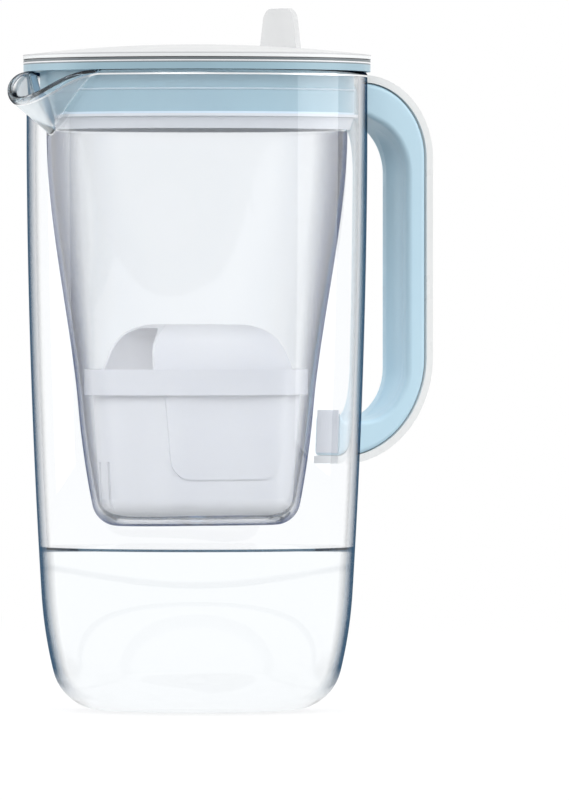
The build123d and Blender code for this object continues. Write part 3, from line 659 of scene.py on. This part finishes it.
def skin(name, rings, poles=None):
    """A skin over rings of points, from x, y and z arrays. It ends in two poles or closes on itself."""
    count = len(rings[0][0])
    vertices = [point for ring in rings for point in np.stack(ring, axis=1).tolist()]
    step = np.arange(count)
    after = (step + 1) % count
    faces = []
    for row in range(len(rings) - 1 if poles else len(rings)):
        low, high = row * count, (row + 1) % len(rings) * count
        faces += np.stack([low + step, low + after, high + after, high + step], axis=1).tolist()
    if poles:
        first, last = len(vertices), len(vertices) + 1
        vertices += list(poles)
        top = (len(rings) - 1) * count
        faces += [[first, int(b), int(a)] for a, b in zip(step, after)]
        faces += [[int(top + a), int(top + b), last] for a, b in zip(step, after)]
    mesh = bpy.data.meshes.new(name)
    mesh.from_pydata(vertices, [], faces)
    mesh.shade_smooth()
    piece = bpy.data.objects.new(name, mesh)
    scene.collection.objects.link(piece)
    return piece


def give_material(piece, number, first_ring, last_ring, count):
    """Gives the faces between two rings one of the piece's materials."""
    for index in range(first_ring * count, last_ring * count):
        piece.data.polygons[index].material_index = number


def glass_jug():
    angles = column_angles()
    full = np.ones_like(angles)
    signed = np.where(angles > pi, angles - 2 * pi, angles)
    outside = [(full * r, full * z) for r, z in corner_profile(0.0, 0.0)]
    inside = [(full * r, full * z) for r, z in corner_profile(GLASS_WALL, BASE_THICKNESS)]
    outer_wall, outer_edge = wall_grid(signed, 0.0, (0.0, 0.0))
    inner_wall, inner_edge = wall_grid(signed, GLASS_WALL, SPOUT_BORE_SHIFT)
    top = ((outer_edge[0] + inner_edge[0]) / 2, (outer_edge[1] + inner_edge[1]) / 2)
    outer_foot, inner_foot = outer_wall[-1], inner_wall[-1]
    lip = []
    for step in range(1, LIP_STEPS):
        turn = pi * step / LIP_STEPS
        rounded = []
        for k in (0, 1):
            middle = (outer_foot[k] + inner_foot[k]) / 2
            half = (outer_foot[k] - inner_foot[k]) / 2
            rounded.append(middle + half * cos(turn) + (top[k] - middle) * sin(turn))
        lip.append(tuple(rounded))
    rows = outside + outer_wall + lip + inner_wall[::-1] + inside[::-1]
    piece = lathe_mesh("jug_glass_body", rows, angles)
    outer_end = len(outside) + len(outer_wall) - 2
    bore_start = outer_end + len(lip) + 1
    jug_materials(piece, outer_end, bore_start, len(rows) - 3, len(angles))
    return piece


def jug_materials(piece, outer_end, bore_start, last, columns):
    """The jug's glass: its wall, bore and rim, the glint under the rim, and the spout with its lip."""
    for material in (
        see_through("jug_glass", GLASS_TINT, GLASS_EDGE, **WALL_LINE),
        see_through("jug_glass_bore", GLASS_TINT, GLASS_EDGE, **BORE_LINE),
        see_through("jug_glass_rim", GLASS_TINT, RIM_EDGE, **RIM_LINE),
        glint("jug_glass_glint", GLASS_TINT, WHITE, RIM_GLINT),
        glint("jug_glass_spout", GLASS_TINT, SPOUT_SHEEN, SPOUT_GLINT, "spout_share"),
        see_through("jug_glass_lip", GLASS_TINT, LIP_EDGE, **LIP_LINE),
    ):
        piece.data.materials.append(material)
    give_material(piece, BORE, bore_start, last, columns)
    give_material(piece, RIM, outer_end, bore_start, columns)
    shares = piece.data.attributes.new("spout_share", "FLOAT", "POINT")
    out = np.array([hypot(vertex.co.x, vertex.co.y) - RIM_RADIUS for vertex in piece.data.vertices])
    shares.data.foreach_set("value", np.clip(out / SPOUT_BLEND, 0.0, 1.0))
    for polygon in piece.data.polygons:
        reach = max(out[index] for index in polygon.vertices)
        if polygon.material_index == WALL and reach > SPOUT_START:
            polygon.material_index = SPOUT
        if polygon.material_index == RIM and reach > LIP_START:
            polygon.material_index = LIP
    give_material(piece, GLINT, outer_end - 1, outer_end, columns)


# The hopper: an oval pocket for the cartridge that opens into a round neck

HOPPER_LOW, HOPPER_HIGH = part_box("funnel_hopper")
NECK_RADIUS, NECK_BORE = 0.064, 0.062
SHOULDER_HEIGHT = 0.246
REBATE_HEIGHT = HOPPER_HIGH.z - 0.0015
SEAT_HEIGHT = 0.1343
SEAT_HALF = (0.054, 0.031)
FLOOR_HALF = (0.0457, 0.0239)
HOPPER_WALL = 0.002
FLOOR_THICKNESS = 0.0025
FLOOR_ROUND = 0.011
OUTLET_RADIUS = 0.006
SEAT_TANGENT, NECK_TANGENT = 86.0, 55.0  # where a section's ends meet its sides
EASE_SIGMA = 0.004  # the pocket and the upper hopper flow into each other over this much height
END_COLUMNS, SIDE_COLUMNS = 36, 22
NECK_ROWS, FOOT_ROWS, FLOOR_ROWS = 9, 13, 4
OUTER_ROWS, INNER_ROWS = 64, 80
FOOT_LEAN = radians(11.0)  # slope of the wall where the rounded foot ends
EASE_REACH, EASE_SAMPLES = 2.5, 11  # how many sigmas the easing looks up and down, and its samples
NECK, OUTER_FOOT, INNER_FOOT = 1, 2, 3  # the hopper's materials, after its wall's
CRISP = 0.00012  # rows this close together keep an edge crisp


def oval_ring(half_length, half_width, tangent, height):
    """An oval of four tangent arcs, as x, y and z arrays."""
    turn = radians(tangent)
    c, s = cos(turn), sin(turn)
    end = (half_width - half_length * (1 - s) / c) / (s - (1 - s) * (1 - c) / c)
    joint_x, joint_y = half_length - end + end * c, end * s
    side = joint_x / c
    side_y = joint_y - side * s
    ends = np.linspace(0.0, turn, END_COLUMNS, endpoint=False)
    sides = np.linspace(turn, pi / 2, SIDE_COLUMNS, endpoint=False)
    x = np.concatenate([half_length - end + end * np.cos(ends), side * np.cos(sides)])
    y = np.concatenate([end * np.sin(ends), side_y + side * np.sin(sides)])
    corner_x, corner_y = np.append(x, 0.0), np.append(y, side_y + side)
    quarter = [(corner_x[:-1], corner_y[:-1]), (-corner_x[:0:-1], corner_y[:0:-1])]
    quarter += [(-corner_x[:-1], -corner_y[:-1]), (corner_x[:0:-1], -corner_y[:0:-1])]
    x = np.concatenate([part[0] for part in quarter])
    y = np.concatenate([part[1] for part in quarter])
    return x, y, np.full_like(x, height)


def round_ring(radius, height, like):
    """A circle whose points face the same way as an oval's."""
    turn = np.arctan2(like[1], like[0])
    return radius * np.cos(turn), radius * np.sin(turn), np.full_like(turn, height)


def hopper_halves(height, floor):
    """The hopper's half length, half width and tangent at a height, before its walls are eased."""
    if height >= SEAT_HEIGHT:
        share = min((height - SEAT_HEIGHT) / (SHOULDER_HEIGHT - SEAT_HEIGHT), 1.0)
        eased = share + share**2 * (1 - share)
        length, width = (half + (NECK_RADIUS - half) * eased for half in SEAT_HALF)
        return length, width, SEAT_TANGENT + (NECK_TANGENT - SEAT_TANGENT) * eased
    share = (SEAT_HEIGHT - height) / (SEAT_HEIGHT - floor)
    eased = (share + share**2) / 2
    length, width = (top + (foot - top) * eased for top, foot in zip(SEAT_HALF, FLOOR_HALF))
    return length, width, SEAT_TANGENT


def eased_halves(height, floor):
    """hopper_halves, with the bend at the seat smoothed."""
    offsets = np.linspace(-EASE_REACH, EASE_REACH, EASE_SAMPLES)
    weights = np.exp(-(offsets**2) / 2)
    near = np.array([hopper_halves(height + offset * EASE_SIGMA, floor) for offset in offsets])
    if abs(height - SEAT_HEIGHT) > EASE_REACH * EASE_SIGMA:
        return hopper_halves(height, floor)
    return tuple((near * weights[:, None]).sum(axis=0) / weights.sum())


def hopper_foot(floor, inset, radius):
    """The rounded foot from the flat floor up to the wall, as rings from the inside out."""
    start = floor + radius * (1 - sin(FOOT_LEAN))
    length, width, tangent = hopper_halves(start, floor)
    rings = []
    for step in range(FOOT_ROWS):
        turn = pi / 2 + (FOOT_LEAN - pi / 2) * step / (FOOT_ROWS - 1)
        back = inset + radius * (cos(FOOT_LEAN) - cos(turn))
        height = start - radius * (sin(turn) - sin(FOOT_LEAN))
        rings.append(oval_ring(length - back, width - back, tangent, height))
    return rings, start


def flat_floor(edge, height):
    """Rings from the outlet's edge out to the foot."""
    hole = round_ring(OUTLET_RADIUS, height, edge)
    crisp = round_ring(OUTLET_RADIUS + CRISP, height, edge)
    rings = [hole, crisp]
    for share in (0.3, 0.65):
        x = hole[0] + (edge[0] - hole[0]) * share
        y = hole[1] + (edge[1] - hole[1]) * share
        rings.append((x, y, hole[2]))
    return rings


def outer_skin():
    floor = HOPPER_LOW.z
    foot, start = hopper_foot(floor, 0.0, FLOOR_ROUND)
    rings = flat_floor(foot[0], floor) + foot
    for height in np.linspace(start, SHOULDER_HEIGHT, OUTER_ROWS)[1:]:
        length, width, tangent = eased_halves(height, floor)
        rings.append(oval_ring(length, width, tangent, height))
    profile = [
        (NECK_RADIUS, REBATE_HEIGHT - CRISP),
        (NECK_RADIUS + CRISP, REBATE_HEIGHT),
        (HOPPER_HIGH.x - CRISP, REBATE_HEIGHT),
        (HOPPER_HIGH.x, REBATE_HEIGHT + CRISP),
        (HOPPER_HIGH.x, HOPPER_HIGH.z - CRISP),
        (HOPPER_HIGH.x - CRISP, HOPPER_HIGH.z),
        (NECK_BORE + CRISP, HOPPER_HIGH.z),
        (NECK_BORE, HOPPER_HIGH.z - CRISP),
    ]
    return rings + [round_ring(radius, height, rings[-1]) for radius, height in profile]


def inner_skin():
    """From the neck's bore down to the outlet."""
    floor = HOPPER_LOW.z + FLOOR_THICKNESS
    foot, start = hopper_foot(floor, HOPPER_WALL, FLOOR_ROUND - HOPPER_WALL)
    rings = []
    for height in np.linspace(SHOULDER_HEIGHT, start, INNER_ROWS)[:-1]:
        length, width, tangent = eased_halves(height, floor)
        rings.append(oval_ring(length - HOPPER_WALL, width - HOPPER_WALL, tangent, height))
    return rings + foot[::-1] + flat_floor(foot[0], floor)[::-1]


def hopper_shell():
    outer, inner = outer_skin(), inner_skin()
    shell = skin("hopper_clear_shell", outer + inner)
    for name, edge, line in (
        ("hopper_plastic", PLASTIC_EDGE, HOPPER_LINE),
        ("hopper_neck", PLASTIC_EDGE, {"line_weight": 0.0}),
        ("hopper_foot", PLASTIC_EDGE, OUTER_FOOT_LINE),
        ("hopper_inner_foot", FOOT_EDGE, INNER_FOOT_LINE),
    ):
        shell.data.materials.append(see_through(name, PLASTIC_TINT, edge, PLASTIC_ROUGHNESS, **line))
    columns, rows = len(outer[0][0]), len(outer) + len(inner)
    give_material(shell, NECK, len(outer) - NECK_ROWS, len(outer), columns)
    give_material(shell, OUTER_FOOT, FLOOR_ROWS, FLOOR_ROWS + FOOT_ROWS, columns)
    give_material(shell, INNER_FOOT, rows - FLOOR_ROWS - FOOT_ROWS, rows - FLOOR_ROWS, columns)
    return shell


# The water

WATER_OVERLAP = 0.00012  # the water reaches this far into the glass, so no air lies between
# WATER_LINE: height of the painted dark band on the water's side
WATER_LINE = 0.0011  # height of the dark line where the water's surface meets the glass
WATER_COLUMNS = 180
SURFACE_SHARES = (1.0, 0.9995, 0.8, 0.4, 0.0)  # rings of the surface, as shares of its radius


def water():
    """Filtered water standing in the jug. It is a prop beside the object, not a part of it."""
    angles = np.linspace(-pi, pi, WATER_COLUMNS, endpoint=False)
    full = np.ones_like(angles)
    line_foot = WATER_LEVEL - WATER_LINE
    profile = corner_profile(GLASS_WALL - WATER_OVERLAP, BASE_THICKNESS - WATER_OVERLAP)
    below = [(full * r, full * z) for r, z in profile if z < line_foot]
    foot = (full * (side_radius(line_foot) - GLASS_WALL + WATER_OVERLAP), full * line_foot)
    radius = side_radius(WATER_LEVEL) - GLASS_WALL + WATER_OVERLAP
    surface = [(full * radius * share, full * WATER_LEVEL) for share in SURFACE_SHARES]
    below.append(foot)
    pool = lathe_mesh("water", below + surface, angles)
    pool.data.materials.append(see_through("water", WATER_TINT, WATER_EDGE, ior=WATER_IOR, line_weight=0.0))
    pool.data.materials.append(water_line())
    give_material(pool, 1, len(below) - 2, len(below) - 1, len(angles))
    return pool


def water_line():
    """A painted dark band on the water's side, standing in for the dark line that the water's curved edge
    makes on the glass.
    """
    material, tree, _ = new_material("water_line")
    dark = add_node(tree, "ShaderNodeBsdfTransparent")
    dark.inputs["Color"].default_value = WATER_EDGE
    tree.links.new(dark.outputs[0], tree.nodes["Material Output"].inputs["Surface"])
    return material


# Dressing

jug = glass_jug()
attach(jug, "jug")
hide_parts("glass_jug")
water()
hopper = hopper_shell()
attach(hopper, "funnel")
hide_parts("funnel_hopper")
paint(moulded_plastic("grip_blue", linear(192, 222, 237), linear(187, 218, 234), 0.42), "handle_grip")
paint(moulded_plastic("cover_white", linear(234, 236, 236), linear(230, 232, 232), 0.3), "handle_cover")
paint(
    moulded_plastic("collar_blue", linear(161, 192, 206), linear(156, 187, 202), 0.36, bands=COLLAR_PAINTED_HIGHLIGHTS),
    "funnel_collar",
)
paint(moulded_plastic("seal_grey", linear(224, 228, 234), linear(219, 224, 230), 0.6), "collar_gasket")
paint(
    moulded_plastic("lid_white", LID_LIGHT, LID_SHADE, **LID_FINISH, bands=LID_PAINTED_SHADE_AND_HIGHLIGHT),
    "lid_top",
    "fill_flap",
    "thumb_tab",
)
paint(
    moulded_plastic("lid_frame_white", LID_LIGHT, LID_SHADE, **LID_FINISH, bands=FRAME_PAINTED_SHADE_AND_HIGHLIGHT),
    "lid_frame",
)
paint(
    moulded_plastic("bond_gel", linear(230, 234, 242), linear(225, 230, 239), 0.5),
    "upper_bond_pad",
    "lower_bond_pad",
)
paint(
    moulded_plastic("cartridge_white", linear(252, 252, 253), linear(250, 250, 252), 0.45),
    "cartridge_body",
    "cartridge_cap",
)
paint(drawn_steel("pin_steel"), "flap_hinge_pin")
paint(
    woven_mesh("mesh_white", linear(226, 229, 231), linear(196, 200, 203)),
    "inlet_screen_spout_side",
    "inlet_screen_handle_side",
    "cartridge_outlet_screen",
)
paint(fleece("fleece_white"), "cartridge_fleece")
paint(packed_grains("media_grains"), "cartridge_media")
